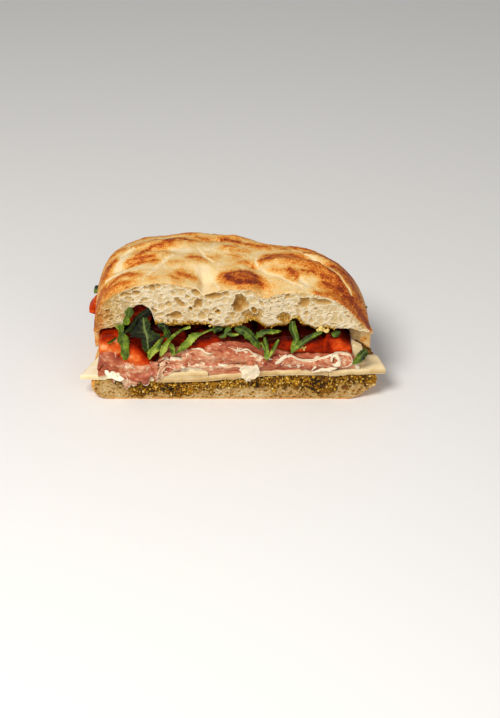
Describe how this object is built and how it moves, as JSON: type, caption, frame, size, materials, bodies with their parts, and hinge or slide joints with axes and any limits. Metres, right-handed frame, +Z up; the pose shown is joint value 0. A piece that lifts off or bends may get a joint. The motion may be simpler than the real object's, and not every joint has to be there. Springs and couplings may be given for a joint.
{
  "type": "prosciutto mozzarella focaccia sandwich half",
  "caption": "Half of a filled focaccia sandwich lying flat with its cut face to the front, showing ham, cheese, tomato, leaves and pesto.",
  "frame": {"origin": "on the flat underside of the bread heel, 40 mm behind the cut face and midway along it", "axes": "+X to the right along the cut face, +Y away from the cut face towards the rounded back, +Z up"},
  "size_m": [0.1671, 0.0891, 0.0743],
  "materials": {
    "crust": "baked crust, browned on its blisters, over open crumb",
    "heel_crust": "pale baked crust and fine crumb",
    "pesto": "coarse oily paste",
    "cheese": "smooth moist cheese",
    "fat": "soft white fat",
    "prosciutto": "moist cured ham",
    "tomato": "wet cut flesh and skin",
    "rocket": "green leaf with a soft shine"
  },
  "bodies": {
    "root": {"bread_heel": "heel_crust", "bread_lid": "crust", "cheese_corner": "cheese", "cheese_left": "cheese", "cheese_middle_lower": "cheese", "cheese_middle_upper": "cheese", "cheese_right": "cheese", "cheese_right_centre": "cheese", "pesto_lower": "pesto", "pesto_upper": "pesto", "prosciutto_centre_high": "prosciutto", "prosciutto_centre_low": "prosciutto", "prosciutto_fat_strip": "fat", "prosciutto_fold": "prosciutto", "prosciutto_left": "prosciutto", "prosciutto_right_high": "prosciutto", "prosciutto_right_low": "prosciutto", "prosciutto_roll": "prosciutto", "rocket_big_dark": "rocket", "rocket_curl_centre": "rocket", "rocket_curl_left": "rocket", "rocket_dark_centre": "rocket", "rocket_dark_fold": "rocket", "rocket_dark_right": "rocket", "rocket_dark_stem": "rocket", "rocket_fork_large": "rocket", "rocket_fork_small": "rocket", "rocket_hanging_left": "rocket", "rocket_hook": "rocket", "rocket_lobed_centre": "rocket", "rocket_long_stem": "rocket", "rocket_right": "rocket", "rocket_side_left": "rocket", "rocket_side_right": "rocket", "rocket_slim_leaf": "rocket", "rocket_small_leaf": "rocket", "rocket_stem_left": "rocket", "rocket_thin_stem": "rocket", "rocket_tip_right": "rocket", "tomato_centre": "tomato", "tomato_diagonal": "tomato", "tomato_left": "tomato", "tomato_mid_left": "tomato", "tomato_notch": "tomato", "tomato_right": "tomato", "tomato_right_centre": "tomato", "tomato_side": "tomato"}
  },
  "joints": []
}
